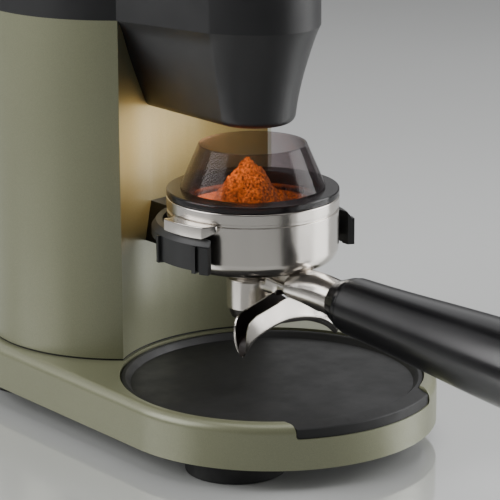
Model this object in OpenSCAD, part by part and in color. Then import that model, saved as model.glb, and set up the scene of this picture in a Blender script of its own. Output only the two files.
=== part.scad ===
// Burr coffee grinder with a docked portafilter, millimetres, +Z up, front towards -Y.
// The origin is on the ground, under the middle of the whole outline.

/* [Base] */
// Width of the base across its round ends
base_w = 135; // [133:1:138]
// Thickness of the base casting
base_t = 18.5; // [18:0.5:20]
// Radius of the base's upper edge
base_edge = 4; // [2:0.5:5]
// Radius of the tray recess in the base
tray_r = 62.3; // [61.8:0.1:62.8]
// Depth of the tray recess
tray_depth = 6; // [5.5:0.25:6.5]
// Width of the notch in the base's front rim
notch_w = 69; // [60:1:74]
// Height of the feet
foot_h = 8.5; // [7:0.5:10]
// Radius of a foot
foot_r = 20.3; // [16:0.1:20.5]

/* [Column and head] */
// Outer radius of the column
column_r = 62; // [61.8:0.1:62.6]
// Height of the column above the base
column_h = 143; // [141:0.5:145]
// Radius of the hollow bay in the column's front
bay_r = 63.5; // [63.3:0.1:64]
// Wall of the column
column_wall = 2.5; // [2:0.1:3]
// Height of the head above the column
head_h = 61.5; // [61:0.1:61.8]
// Wall of the head and of the spout shroud
head_wall = 2.4; // [2:0.1:2.6]
// Height of the spout shroud below the head
shroud_h = 40; // [39:0.25:40.5]
// Half width of the shroud's lower end
shroud_r = 16.5; // [15.5:0.1:17.5]

/* [Burrs and gears] */
// Gear module
gear_m = 1; // [1:0.01:1.02]
// Teeth of the motor pinion
pinion_n = 12; // [12:1:12]
// Teeth of the idler's large wheel
wheel_n = 36; // [36:1:36]
// Teeth of the idler's small pinion
idler_n = 14; // [14:1:14]
// Teeth of the output gear on the burr spindle
output_n = 40; // [40:1:40]
// Lower radius of the cone burr
burr_r = 19; // [18.5:0.1:19.2]
// Number of flutes on each burr
flutes = 12; // [8:1:14]

/* [Hopper] */
// Outer radius of the hopper
hopper_r = 61.5; // [60:0.5:62]
// Height of the hopper's rim above the column
hopper_top = 195; // [185:1:197]
// Wall of the hopper
hopper_wall = 2.2; // [1.8:0.1:2.6]

/* [Portafilter] */
// Radius of the portafilter's rim
rim_r = 35.2; // [35:0.1:35.4]
// Height of the portafilter's rim above the base
dock_h = 72.9; // [72:0.1:73.5]
// Depth of the portafilter's bowl
bowl_h = 27.3; // [26.5:0.1:27.6]
// Inner radius of the filter basket
basket_r = 29; // [28.9:0.05:29.1]
// Height of the dosing funnel above the rim
funnel_h = 21.2; // [19:0.1:21.6]
// Downward tilt of the handle in degrees
handle_tilt = 1.63; // [1:0.01:2.5]
// Distance of the handle's end from the bowl's axis
handle_reach = 190.64; // [185:0.01:192]

/* [Hidden] */
$fn = 96;

burr_y = 105;
mat_y = 6;
dock_y = 18;
base_r = base_w / 2;
base_top = foot_h + base_t;
head_z = base_top + column_h;
rim_z = base_top + dock_h;
plate_t = 2;
gasket_t = 0.8;
deck_t = 3;
base_wall = 4;
foot_x = 36;
foot_front = mat_y - 22;
foot_back = burr_y + 22;
shaft_r = 4;
running = 0.05;
pressure_angle = 25;
motor_y = 23;
motor_r = 28;
post_front = [45.5, -31.5];
post_back = [46.5, 30.5];
button_z = -17;
switch_z = 35;
hopper_low = 80.3;
// Middle of the idler gear, from the burr axis: it meshes with the output gear and the motor pinion
idler_reach = gear_m * (output_n + idler_n) / 2;
motor_reach = gear_m * (wheel_n + pinion_n) / 2;
idler_y = (pow(idler_reach, 2) - pow(motor_reach, 2) + pow(motor_y, 2)) / (2 * motor_y);
idler_x = sqrt(pow(idler_reach, 2) - pow(idler_y, 2));
idler_dir = atan2(idler_y, idler_x);
motor_dir = atan2(motor_y - idler_y, -idler_x);

// Places: the burr axis at the column's top, and the portafilter's axis at its rim
module at_burr(z = 0) translate([0, burr_y, head_z + z]) children();
module at_dock(z = 0) translate([0, dock_y, rim_z + z]) children();
module at_idler(z = 0) at_burr(z) translate([idler_x, idler_y, 0]) children();
module at_motor(z = 0) at_burr(z) translate([0, motor_y, 0]) children();
module at_handle(s = 0) at_dock(-31.07) rotate([90 + handle_tilt, 0, 0]) translate([0, 0, s]) children();
module along_y(y = 0) translate([0, y, 0]) rotate([-90, 0, 0]) children();
module both_sides() {
    children();
    mirror([1, 0, 0]) children();
}
module at_feet() for (x = [-foot_x, foot_x], y = [foot_front, foot_back]) translate([x, y, 0]) children();
module at_posts() both_sides() for (p = [post_front, post_back]) translate([p[0], burr_y + p[1], 0]) children();

module ring(ro, ri, h) {
    difference() {
        cylinder(h = h, r = ro);
        translate([0, 0, -1]) cylinder(h = h + 2, r = ri);
    }
}

// Screw with a hexagon socket: the head stands on z = 0 and the shank hangs down
module screw(r, l) {
    difference() {
        cylinder(h = 1.8 * r, r = 1.8 * r, $fn = 32);
        translate([0, 0, 0.8 * r]) cylinder(h = 2 * r, r = 0.9 * r, $fn = 6);
    }
    translate([0, 0, -l]) cylinder(h = l + 0.1, r = r, $fn = 32);
}

// Half section of a round body with a rounded upper edge
module edge_section(r, h, e) {
    square([r, h - e]);
    square([r - e, h]);
    translate([r - e, h - e]) circle(e);
}

module stadium_block(r, h, e) {
    for (y = [mat_y, burr_y]) translate([0, y, 0]) rotate_extrude() edge_section(r, h, e);
    translate([0, burr_y, 0]) rotate([90, 0, 0]) linear_extrude(burr_y - mat_y) {
        edge_section(r, h, e);
        mirror([1, 0]) edge_section(r, h, e);
    }
}

module stadium(r, y1, y2) {
    for (y = [y1, y2]) translate([0, y]) circle(r);
    translate([-r, y1]) square([2 * r, y2 - y1]);
}

// Plan of the column: a circle with the bay cut out of its front, grown by g (negative inside)
module column_plan(g) {
    difference() {
        translate([0, burr_y]) circle(column_r + g);
        translate([0, mat_y]) circle(bay_r - g);
    }
}

// ---- Base ----
module base_casting() {
    color("#aeb294") difference() {
        translate([0, 0, foot_h]) stadium_block(base_r, base_t, base_edge);
        translate([0, mat_y, base_top - tray_depth]) cylinder(h = tray_depth + 1, r = tray_r);
        front_notch(notch_w / 2, 0);
        base_hollow();
        translate([0, burr_y, base_top - 10]) linear_extrude(20) column_opening();
        at_posts() cylinder(h = base_top + 1, r = 2.2);
        gland_pocket();
    }
    color("#aeb294") both_sides() {
        translate([foot_x, foot_front, foot_h + plate_t]) ring(6, 1.6, base_t - plate_t - tray_depth - 1);
        translate([foot_x, foot_back, foot_h + plate_t]) ring(6, 1.6, base_t - plate_t - deck_t + 1);
    }
}
// Notch in the base's front rim: its lower corners are round, and its upper corners flare out
notch_low_r = 1.5;
notch_high_r = 0.8;
module front_notch(half, gap) {
    translate([0, mat_y - base_r - 1, base_top - tray_depth]) rotate([-90, 0, 0]) mirror([0, 1, 0])
        linear_extrude(40) both_sides() {
            square([half - notch_low_r, notch_low_r]);
            translate([half - notch_low_r, notch_low_r]) circle(notch_low_r);
            translate([0, notch_low_r]) square([half, tray_depth]);
            if (gap == 0) difference() {
                translate([half - 1, tray_depth - notch_high_r]) square([notch_high_r + 1, notch_high_r + 1]);
                translate([half + notch_high_r, tray_depth - notch_high_r]) circle(notch_high_r);
            }
        }
}

module base_hollow() {
    low = base_top - tray_depth - deck_t;
    translate([0, 0, foot_h - 1]) linear_extrude(low - foot_h + 1) stadium(base_r - base_wall, mat_y, burr_y);
    intersection() {
        translate([0, 0, low - 1]) linear_extrude(base_top - deck_t - low + 1) stadium(base_r - base_wall, mat_y, burr_y);
        translate([-base_r, mat_y + 50, 0]) cube([base_w, base_w, base_top]);
        translate([0, 0, 1]) linear_extrude(base_top) difference() {
            square(1000, center = true);
            translate([0, mat_y]) circle(tray_r + 3);
        }
    }
}
module column_opening() {
    difference() {
        circle(42);
        translate([0, mat_y - burr_y]) circle(bay_r + 8);
    }
}
module gland_pocket() {
    translate([0, burr_y + base_r, gland_z()]) rotate([90, 0, 0]) {
        translate([0, 0, -1]) cylinder(h = 3, r = 6.5);
        cylinder(h = base_wall + 3, r = 5.4);
    }
}
function gland_z() = foot_h + base_t / 2;

module base_plate() {
    color("dimgray") difference() {
        translate([0, 0, foot_h]) linear_extrude(plate_t) stadium(base_r - base_wall - 0.2, mat_y, burr_y);
        at_feet() cylinder(h = 20, r = 2.1);
        for (x = [-21:6:21]) translate([x - 1.25, burr_y - 30, foot_h - 1]) cube([2.5, 50, plate_t + 2]);
    }
}

module rubber_feet() {
    color("#1b1b1c") at_feet() difference() {
        cylinder(h = foot_h, r = foot_r);
        translate([0, 0, -1]) cylinder(h = 5, r = 5);
        cylinder(h = 20, r = 2.1);
    }
}

module foot_screws() {
    color("silver") at_feet() translate([0, 0, 4]) mirror([0, 0, 1]) screw(1.55, 12);
}

module drip_mat() {
    floor_z = base_top - tray_depth;
    color("#232324") translate([0, mat_y, floor_z]) {
        cylinder(h = 2.6, r = tray_r - 0.4);
        intersection() {
            rotate_extrude() polygon([
                [tray_r - 5, 2.2], [tray_r - 4.4, 2.6], [tray_r - 2.8, 4.7], [tray_r - 2.2, 5.1],
                [tray_r - 0.8, 5.1], [tray_r - 0.4, 4.7], [tray_r - 0.4, 2.2]
            ]);
            difference() {
                cylinder(h = 20, r = base_r);
                translate([-notch_w / 2 + 0.5, -base_r, -1]) cube([notch_w - 1, 30, 30]);
            }
        }
        front_lip();
    }
}
// Lip that fills the notch: an upright band with a sloping band above it
module front_lip() {
    intersection() {
        rotate_extrude() polygon([
            [tray_r - 5, 0], [base_r - 0.6, 0], [base_r - 0.6, 3.8], [base_r - 1, 4.2],
            [tray_r - 0.8, 5.4], [tray_r - 2, 5.4], [tray_r - 2.8, 4.7], [tray_r - 5, 2.4]
        ]);
        translate([0, -mat_y, tray_depth - base_top]) front_notch(notch_w / 2 - 0.6, 0.6);
    }
}

module cord_gland() {
    color("#1b1b1c") translate([0, burr_y + base_r, gland_z()]) rotate([90, 0, 0]) difference() {
        union() {
            translate([0, 0, 0.4]) cylinder(h = 1.6, r = 6.3);
            translate([0, 0, 0.4]) cylinder(h = 14, r = 5.3);
            translate([0, 0, base_wall + 0.2]) cylinder(h = 4, r = 7, $fn = 6);
        }
        translate([0, 0, -1]) cylinder(h = 20, r = 3.4);
    }
}

// ---- Column ----
module column_gasket() {
    color("#1d1d1e") translate([0, 0, base_top]) linear_extrude(gasket_t) difference() {
        column_plan(-0.3);
        column_plan(-column_wall - 3);
        for (x = [-1, 1], p = [post_front, post_back]) translate([x * p[0], burr_y + p[1]]) circle(5);
    }
}

module column_shell() {
    low = base_top + gasket_t;
    color("#9da287") difference() {
        union() {
            translate([0, 0, low]) linear_extrude(head_z - low) difference() {
                column_plan(0);
                column_plan(-column_wall);
            }
            at_posts() translate([0, 0, low]) cylinder(h = column_h - gasket_t - 7, r = 4.5);
            both_sides() for (z = [15, 45]) translate([24, 0, base_top + z]) along_y(66.5) cylinder(h = 23.4, r = 3);
        }
        at_posts() translate([0, 0, base_top - 1]) cylinder(h = 16, r = 1.85);
        at_posts() translate([0, 0, head_z - 23]) cylinder(h = 30, r = 1.65);
        at_dock(button_z) along_y(40) {
            cylinder(h = 20, r = 5.4);
            both_sides() translate([fork_screw_x, 0, 0]) cylinder(h = 20, r = 1.8);
        }
        translate([40, burr_y - 7.2, base_top + switch_z - 11.2]) cube([40, 14.4, 22.4]);
    }
}

module column_screws() {
    color("silver") at_posts() translate([0, 0, base_top - deck_t]) mirror([0, 0, 1]) screw(1.8, 16);
}

module control_board() {
    color("#2f5d3a") difference() {
        translate([-32, 90, base_top + 11]) cube([64, 1.6, 38]);
        both_sides() for (z = [15, 45]) translate([24, 0, base_top + z]) along_y(80) cylinder(h = 20, r = 1.2);
    }
}

module board_components() {
    front = 90;
    color("#3c3c40") {
        translate([-14, front - 15, base_top + 26]) cube([20, 15, 16]);
        translate([10, front - 11, base_top + 24]) cube([9, 11, 18]);
        both_sides() translate([10, 0, base_top + 16]) rotate([90, 0, 0]) translate([0, 0, -front]) cylinder(h = 13, r = 4);
        translate([-3, front - 8, base_top + 12]) cube([6, 8, 7]);
    }
}

// Round wire through a list of points, with round corners
module wire(points, r) {
    for (i = [0 : len(points) - 2]) {
        d = points[i + 1] - points[i];
        translate(points[i]) rotate([0, acos(d[2] / norm(d)), atan2(d[1], d[0])]) cylinder(h = norm(d), r = r, $fn = 24);
        if (i > 0) translate(points[i]) sphere(r + 0.35, $fn = 24);
    }
}
module wiring_harness() {
    color("#7a3b2a") {
        wire([[0, 157, gland_z()], [0, 146, gland_z()], [-30, 118, gland_z()], [-30, 95.5, base_top + 15], [-26, 93.3, base_top + 20]], 1.7);
        wire([[49.8, burr_y - 3, base_top + switch_z], [31, 93, base_top + switch_z + 4]], 1.4);
    }
}

// ---- Switch on the right side ----
module switch_bezel() {
    color("#202022") translate([0, burr_y, base_top + switch_z]) difference() {
        union() {
            translate([50, -7, -11]) cube([13, 14, 22]);
            translate([58, -9, -13]) cube([6, 18, 26]);
        }
        difference() {
            translate([48, -20, -20]) cube([12, 40, 40]);
            translate([48, -7, -11]) cube([20, 14, 22]);
        }
        difference() {
            translate([-column_r, -20, -20]) cube([3 * column_r, 40, 40]);
            translate([51, -30, -30]) cube([40, 60, 60]);
        }
        difference() {
            translate([0, 0, -20]) cylinder(h = 40, r = column_r + 0.05);
            translate([0, -7, -11]) cube([80, 14, 22]);
        }
        translate([52.5, -6, -10]) cube([20, 12, 20]);
    }
}

module rocker_switch() {
    color("#141415") translate([59.5, burr_y, base_top + switch_z]) rotate([0, -10, 0]) rotate([90, 0, 0])
        linear_extrude(11.4, center = true) intersection() {
            circle(9.3);
            polygon([[-4, -9], [5.6, -9], [4, 0], [5.6, 9], [-4, 9]]);
        }
}

// ---- Chassis and gearbox ----
module chassis_plate() {
    color("silver") translate([0, 0, head_z - 7]) difference() {
        linear_extrude(4) column_plan(-column_wall - 0.3);
        translate([0, burr_y, -1]) cylinder(h = 10, r = 10);
        at_posts() translate([0, 0, -1]) cylinder(h = 10, r = 2.1);
    }
}

module chassis_screws() {
    color("silver") at_posts() translate([0, 0, head_z - 3]) screw(1.6, 20);
}

module gearbox_plan(g) {
    circle(24 + g);
    translate([idler_x, idler_y]) circle(22 + g);
    translate([0, motor_y]) circle(11 + g);
}
module gearbox_housing() {
    color("#6b6d70") difference() {
        union() {
            at_burr(-58) linear_extrude(46) gearbox_plan(0);
            at_burr(-63) cylinder(h = 11, r = 11.5);
        }
        at_burr(-54) linear_extrude(50) difference() {
            gearbox_plan(-2);
            circle(11.5);
        }
        at_burr(-52) linear_extrude(50) gearbox_plan(-2);
        at_burr(-59.5) cylinder(h = 20, r = 9.5);
        at_burr(-70) cylinder(h = 20, r = 5.5);
        at_motor(-70) cylinder(h = 30, r = 6.1);
        at_idler(-60) cylinder(h = 10, r = 3);
    }
}

module gearbox_cover() {
    color("#77797c") difference() {
        union() {
            at_burr(-12) linear_extrude(5) gearbox_plan(0);
            at_burr(-16) cylinder(h = 8, r = 13.5);
        }
        at_burr(-13.5) cylinder(h = 10, r = 11);
        at_burr(-17) cylinder(h = 10, r = 7);
        at_idler(-14) cylinder(h = 4, r = 3);
    }
}

module spindle_bearings() {
    color("silver") {
        at_burr(-59.5) ring(9.5, shaft_r + running, 6);
        at_burr(-13.5) ring(11, shaft_r + running, 6.4);
    }
}

module idler_pin() {
    color("silver") at_idler(-58) cylinder(h = 48, r = 3);
}

// Polar angle of an involute at radius r, for base radius rb
function unwind(rb, r) = let (t = sqrt(max(0, pow(r / rb, 2) - 1))) t * 180 / PI - atan(t);
module gear_plan(n) {
    rp = gear_m * n / 2;
    rb = rp * cos(pressure_angle);
    root = rp - 1.25 * gear_m;
    tip = rp + 0.92 * gear_m;
    low = max(rb, root);
    backlash = 0.07 / rp * 180 / PI;
    radii = [root, for (k = [0 : 4]) low + (tip - low) * k / 4];
    half = [for (r = radii) 90 / n - backlash + unwind(rb, rp) - unwind(rb, max(r, rb))];
    last = len(radii) - 1;
    polygon([for (i = [0 : n - 1]) let (a = 360 / n * i) each concat(
        [for (k = [0 : last]) radii[k] * [cos(a - half[k]), sin(a - half[k])]],
        [for (k = [last : -1 : 0]) radii[k] * [cos(a + half[k]), sin(a + half[k])]]
    )]);
}
module gear(n, h, bore, turn) {
    rotate(turn) linear_extrude(h) difference() {
        gear_plan(n);
        circle(bore);
    }
}

module output_gear() {
    color("#b9975b") at_burr(-36) {
        difference() {
            gear(output_n, 11, 6, idler_dir);
            for (a = [0 : 60 : 300]) rotate(a) translate([12.5, 0, -1]) cylinder(h = 20, r = 3);
        }
    }
}

module idler_gear() {
    color("#c7c2b4") {
        at_idler(-50) difference() {
            union() {
                gear(wheel_n, 10, 2, motor_dir);
                translate([0, 0, 9]) gear(idler_n, 17, 2, idler_dir + 180 + 180 / idler_n);
            }
            translate([0, 0, -1]) cylinder(h = 40, r = 3 + running);
        }
    }
}

module burr_spindle() {
    color("silver") {
        at_burr(-60) cylinder(h = 114, r = shaft_r);
        at_burr(-53) cylinder(h = 39, r = 6);
    }
}

// ---- Motor ----
module at_dampers() for (a = [45 : 90 : 315]) at_motor(0) rotate(a) translate([20, 0, 0]) children();
module motor_dampers() {
    color("#1b1b1c") at_dampers() translate([0, 0, -66]) cylinder(h = 8, r = 4);
}

module motor_can() {
    color("#8b8d90") at_motor(-134) difference() {
        cylinder(h = 68, r = motor_r);
        translate([0, 0, -1]) cylinder(h = 67, r = motor_r - 2);
        cylinder(h = 80, r = 2.6);
    }
}

module motor_end_cap() {
    color("#2a2a2c") at_motor(-138) difference() {
        union() {
            cylinder(h = 4, r = motor_r);
            cylinder(h = 7, r = motor_r - 2.1);
        }
        translate([0, 0, -1]) cylinder(h = 20, r = 2.5 + running);
        for (a = [0 : 60 : 300]) rotate(a + 30) translate([17, 0, -1]) cylinder(h = 20, r = 3.5);
    }
}

module motor_magnets() {
    color("#4a4a4d") at_motor(-124) difference() {
        ring(25.9, 21.5, 44);
        translate([-8, -30, -1]) cube([16, 60, 50]);
    }
}

module motor_brushes() {
    color("#3a3330") at_motor(-129) both_sides() translate([7.3, -2.5, 0]) cube([12, 5, 4]);
}

module motor_rotor() {
    color("#a0642f") at_motor(0) {
        translate([0, 0, -137.5]) cylinder(h = 99.5, r = 2.5);
        translate([0, 0, -119]) difference() {
            cylinder(h = 34, r = 20.5);
            for (a = [0 : 36 : 324]) rotate(a) translate([18, 0, -1]) cylinder(h = 40, r = 1.6);
        }
        translate([0, 0, -130.5]) cylinder(h = 8, r = 7);
    }
}

module motor_pinion() {
    color("#c9b169") at_motor(-51) gear(pinion_n, 12, 2.5, motor_dir + 180 + 180 / pinion_n);
}

// ---- Grinding chamber ----
module burr_chamber() {
    color("#a9abae") difference() {
        union() {
            at_burr(-3) ring(32.5, 28.5, 10);
            at_burr(6) cylinder(h = 46, r = 36);
            at_burr(1) cylinder(h = 6, r = 11.5);
        }
        at_burr(9.5) cylinder(h = 60, r = 31);
        at_burr(0) cylinder(h = 6, r = 9);
        at_burr(0) cylinder(h = 20, r = 5);
        at_burr(9.5) translate([-10, -42, 0]) cube([20, 20, 11]);
    }
}

module shaft_seal() {
    color("#5a2a22") at_burr(2) ring(9, shaft_r + running, 4);
}

module sweeper() {
    color("#d8d2c0") at_burr(10.2) difference() {
        union() {
            cylinder(h = 2.4, r = 29.5);
            cylinder(h = 9.8, r = 8);
            for (a = [0 : 90 : 270]) rotate(a) translate([7, -1.2, 0]) cube([22, 2.4, 7]);
        }
        translate([0, 0, -1]) cylinder(h = 20, r = shaft_r);
    }
}

// Slanted grooves that make the cutting edges of a burr
module flute_cuts(n, r, tilt, lean, w, l) {
    for (i = [0 : n - 1]) rotate(360 / n * i) translate([r, 0, 0]) rotate([lean, -tilt, 0])
        cube([3.4, w, l], center = true);
}

module cone_burr() {
    color("#c4c6c9") at_burr(20) difference() {
        cylinder(h = 24, r1 = burr_r, r2 = burr_r - 9);
        translate([0, 0, -1]) cylinder(h = 30, r = shaft_r);
        translate([0, 0, 12]) flute_cuts(flutes, burr_r - 3.6, 20.6, 28, 2.6, 40);
    }
}

module burr_nut() {
    color("silver") at_burr(44) difference() {
        cylinder(h = 6, r = 7, $fn = 6);
        translate([0, 0, -1]) cylinder(h = 20, r = shaft_r);
    }
}

module ring_burr() {
    color("#b7b9bd") at_burr(22) difference() {
        cylinder(h = 20, r = 27);
        translate([0, 0, -0.01]) cylinder(h = 20.02, r1 = burr_r - 0.3, r2 = burr_r - 3.4);
        translate([0, 0, 11]) flute_cuts(flutes, burr_r - 0.2, 8, -28, 2.6, 30);
    }
}

module burr_carrier() {
    color("#c8b27a") at_burr(0) difference() {
        rotate_extrude() polygon([[27, 21.5], [30.9, 21.5], [30.9, 56], [24, 56], [24, 42], [27, 42]]);
        for (a = [0 : 120 : 240]) rotate(a) translate([20, -4.2, 52]) cube([20, 8.4, 10]);
    }
}

// Side view of the chute, drawn as [y, z] from the burr axis and the column's top
module chute_side(points, w) {
    at_burr(0) rotate([90, 0, 90]) linear_extrude(w, center = true) polygon(points);
}
module grounds_chute() {
    tube_y = dock_y - burr_y;
    color("#2c2c2e") difference() {
        union() {
            chute_side([[-33, 7], [-33, 25], [-66, 17], [tube_y, 6], [tube_y, -20], [tube_y + 12, -20]], 27);
            translate([0, dock_y, head_z - shroud_h + 0.6]) cylinder(h = shroud_h + 4.4, r = 11.3);
        }
        chute_side([[-20, 9.5], [-20, 22.8], [-66, 14.6], [tube_y, 3.6], [tube_y, -17.6], [tube_y + 10.8, -17.6], [-34, 9.5]], 21.4);
        translate([0, dock_y, 0]) cylinder(h = head_z + 2.5, r = 9.4);
        at_burr(-10) cylinder(h = 60, r = 36.05);
        translate([0, 0, head_z - 60]) linear_extrude(60) difference() {
            translate([-30, mat_y]) square([60, 100]);
            translate([0, mat_y]) circle(bay_r - 0.1);
        }
    }
}

// ---- Head ----
function bezier(a, b, c, d, t) =
    pow(1 - t, 3) * a + 3 * t * pow(1 - t, 2) * b + 3 * t * t * (1 - t) * c + pow(t, 3) * d;
nose_steps = 8;
// Right half of the nose's plan, drawn in by g
function nose_half(g) = concat(
    [[38.9 - g, 85], [38.9 - g, 56.8]],
    [for (i = [0 : nose_steps]) bezier([27.9 - g, 10.9], [22.5 - g, g], [13, -11.5 + g], [0, -11.5 + g], i / nose_steps)]
);
// Right half of the shroud's lower plan, with the same number of points
function outlet_half(g) = concat(
    [[shroud_r - g, 85], [shroud_r - g, 56.8]],
    [for (i = [0 : nose_steps]) let (a = 90 * i / nose_steps) (shroud_r - g) * [cos(a), -sin(a)] + [0, 17]]
);
// Outline between the two, with its own share of the outlet at the back and at the front
module nose_plan(back, front, g) {
    half = [for (i = [0 : nose_steps + 2]) let (f = i < 2 ? back : front) (1 - f) * nose_half(g)[i] + f * outlet_half(g)[i]];
    polygon(concat(half, [for (i = [nose_steps + 1 : -1 : 0]) [-half[i][0], half[i][1]]]));
}
module slice(z) translate([0, 0, z]) linear_extrude(0.01) children();

module head_nose(g) {
    hull() {
        slice(head_z) nose_plan(0, 0, g);
        slice(head_z + 29 - g) nose_plan(0, 0, g);
        slice(head_z + 54 - g) translate([0, 22]) nose_plan(0, 0, 5 + g);
    }
}
module head_cover() {
    color("#2b2c30") difference() {
        union() {
            translate([0, burr_y, head_z]) rotate_extrude() edge_section(column_r, head_h, 9);
            head_nose(0);
        }
        translate([0, burr_y, head_z - 1]) rotate_extrude() edge_section(column_r - head_wall, head_h - head_wall + 1, 8);
        head_nose(head_wall);
        translate([0, 0, -0.5]) intersection() {
            head_nose(head_wall);
            translate([-50, -50, 0]) cube([100, 200, head_z + 5]);
        }
        at_burr(0) cylinder(h = 100, r = 34);
    }
}

// Depth, then the back's and the front's share of the outlet's plan
shroud_steps = [[0, 0, 0], [5, 0.2, 0.2], [14, 0.4, 0.48], [23, 0.61, 0.72], [32, 0.82, 0.9], [40, 1, 1]];
module shroud_solid(g, low) {
    for (i = [0 : 4]) hull() for (s = [shroud_steps[i], shroud_steps[i + 1]])
        slice(head_z - 0.01 - min(s[0] * shroud_h / 40, shroud_h - low)) nose_plan(s[1], s[2], g);
}
module spout_shroud() {
    color("#26272a") difference() {
        intersection() {
            shroud_solid(0, 0);
            translate([0, mat_y, 0]) cylinder(h = 400, r = bay_r - 0.1);
        }
        translate([0, 0, 0.2]) shroud_solid(head_wall, 2.4);
        translate([0, dock_y, 0]) cylinder(h = head_z - 10, r = 11.5);
    }
}

// ---- Adjusting ring and hopper ----
module adjusting_ring() {
    color("#26272a") at_burr(0) {
        difference() {
            rotate_extrude() {
                translate([53, 62.2]) square([3, 17.8]);
                translate([28, 76]) square([28, 4]);
                translate([28, 57]) square([3, 23]);
            }
            for (a = [0 : 10 : 350]) rotate(a) translate([57.2, 0, 61]) cylinder(h = 20, r = 2, $fn = 24);
        }
        for (a = [0 : 120 : 240]) rotate(a) translate([28.3, -4, 53]) cube([2, 8, 5]);
    }
}

module hopper() {
    w = hopper_wall;
    color("#4a4643", 0.5) at_burr(0) rotate_extrude() polygon([
        [25.4, 62], [27.6, 62], [27.6, hopper_low], [38, hopper_low], [hopper_r - 2, 119], [hopper_r, 124],
        [hopper_r, hopper_top], [hopper_r - w, hopper_top], [hopper_r - w, 124.6], [hopper_r - w - 1.8, 120.3],
        [36.8, hopper_low + w], [25.4, hopper_low - 1]
    ]);
}

module hopper_collar() {
    color("#26272a") at_burr(0) rotate_extrude() polygon([
        [38.4, hopper_low], [50, hopper_low], [50, 86], [46.8, 92], [46, 92.8]
    ]);
}

module hopper_lid() {
    top = hopper_top;
    color("#2f2e2d") at_burr(0) rotate_extrude() polygon([
        [0, top + 20], [13, top + 20], [15.5, top + 18.5], [15.8, top + 13.6], [40, top + 10.6], [56, top + 6],
        [hopper_r, top + 3], [hopper_r, top + 0.2], [hopper_r - 3.2, top + 0.2], [hopper_r - 3.2, top - 6],
        [hopper_r - 5.2, top - 6], [hopper_r - 5.2, top + 1.5], [55, top + 3.4], [39, top + 8],
        [13.4, top + 11], [13.4, top + 17.5], [0, top + 17.5]
    ]);
}

module lid_seal() {
    color("#6c6a66") at_burr(hopper_top - 4) ring(hopper_r - hopper_wall - 0.15, hopper_r - 3.2, 2);
}

// ---- Fork that holds the portafilter ----
fork_r = 41.3;
fork_top = -9.9;
fork_block_low = -26.4;
fork_skirt_low = -22.9;
fork_plate_low = -15.9;
fork_screw_x = 12;
module fork() {
    color("#1c1c1e") difference() {
        union() {
            at_dock(0) intersection() {
                rotate_extrude() polygon([
                    [0, fork_skirt_low], [fork_r, fork_skirt_low], [fork_r, fork_top - 2.6], [fork_r - 1.8, fork_top], [0, fork_top]
                ]);
                translate([0, 0, -40]) linear_extrude(40) polygon([[0, 0], [60, -30.6], [60, 60], [-60, 60], [-60, -30.6]]);
            }
            at_dock(0) translate([0, 34, 0]) rotate([-90, 0, 0]) mirror([0, 1, 0]) linear_extrude(30)
                polygon([[-19, fork_block_low], [19, fork_block_low], [15, fork_top - 0.2], [-15, fork_top - 0.2]]);
            at_dock(fork_skirt_low - 0.8) both_sides() for (rib = [[-24.2, 4], [-17.8, 1.8], [13, 2]]) rotate(rib[0])
                translate([fork_r - 3, -rib[1] / 2, 0]) cube([4.2, rib[1], 11]);
        }
        at_dock(0) both_sides() translate([19.5, 11, -40]) cube([40, 60, 40 + fork_plate_low]);
        at_dock(-60) cylinder(h = 100, r = 36.8);
        at_dock(-60) translate([-rim_r - 0.2, -60, 0]) cube([2 * rim_r + 0.4, 60, 100]);
        at_dock(-60) linear_extrude(100) difference() {
            translate([-60, 10]) square([120, 80]);
            translate([0, mat_y - dock_y]) circle(bay_r - 0.05);
        }
        at_dock(button_z) along_y(20) {
            cylinder(h = 60, r = 5.3);
            both_sides() translate([fork_screw_x, 0, 22]) cylinder(h = 60, r = 1.55);
        }
    }
}

module fork_screws() {
    color("silver") at_dock(button_z) both_sides() translate([fork_screw_x, 0, 0]) along_y(53.6) screw(1.5, 10);
}

module dock_button() {
    color("#3a3a3d") at_dock(button_z) along_y(0) {
        translate([0, 0, 35.5]) cylinder(h = 20, r = 5);
        translate([0, 0, 54.4]) cylinder(h = 1.6, r = 7);
        translate([0, 0, 55]) cylinder(h = 10.5, r = 2);
    }
}

// Wave spring round the button's stem, drawn as a flat stack of turns
module button_spring() {
    color("silver") at_dock(button_z) along_y(56) for (z = [0 : 1 : 2]) translate([0, 0, z]) ring(5, 3.6, 0.9);
}

module microswitch() {
    color("#2d2d30") at_dock(button_z) difference() {
        translate([-10, 62, -6.5]) cube([20, 14, 13]);
        along_y(60) cylinder(h = 12, r = 2.4);
    }
}

// ---- Portafilter ----
module portafilter_body() {
    color("#c9c7c3") {
        difference() {
            union() {
                at_dock(0) rotate_extrude() {
                    translate([0, -4.5]) square([rim_r, 4.5]);
                    translate([0, -6]) square([34.5, 3]);
                    translate([0, 6 - bowl_h]) square([35, bowl_h - 11.5]);
                    translate([0, -bowl_h]) square([29, 8]);
                    translate([29, 6 - bowl_h]) circle(6);
                }
                at_dock(-9.7) intersection() {
                    cylinder(h = 5.2, r = 41.6);
                    for (side = [0, 180]) rotate(side) translate([-50, -17.5, 0]) cube([50, 22.5, 5.2]);
                }
                at_dock(-49) cylinder(h = 24, r = 8);
                at_handle(4) cylinder(h = 53, r = 7.4);
                at_handle(28.5) cylinder(h = 15.5, r1 = 10.2, r2 = 7.4);
            }
            at_dock(-1) cylinder(h = 3, r = 34);
            at_dock(-24.4) cylinder(h = 30, r = 31.2);
            at_dock(-60) cylinder(h = 60, r = 3.2);
            at_handle(30) cylinder(h = 40, r = 4);
        }
    }
}

module filter_basket() {
    color("#d4d3d0") at_dock(0) rotate_extrude() polygon([
        [0, -23.6], [basket_r + 0.6, -23.6], [basket_r + 0.6, -1], [33.9, -1], [33.9, -0.2], [basket_r, -0.2],
        [basket_r, -23], [0, -23]
    ]);
}

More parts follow.
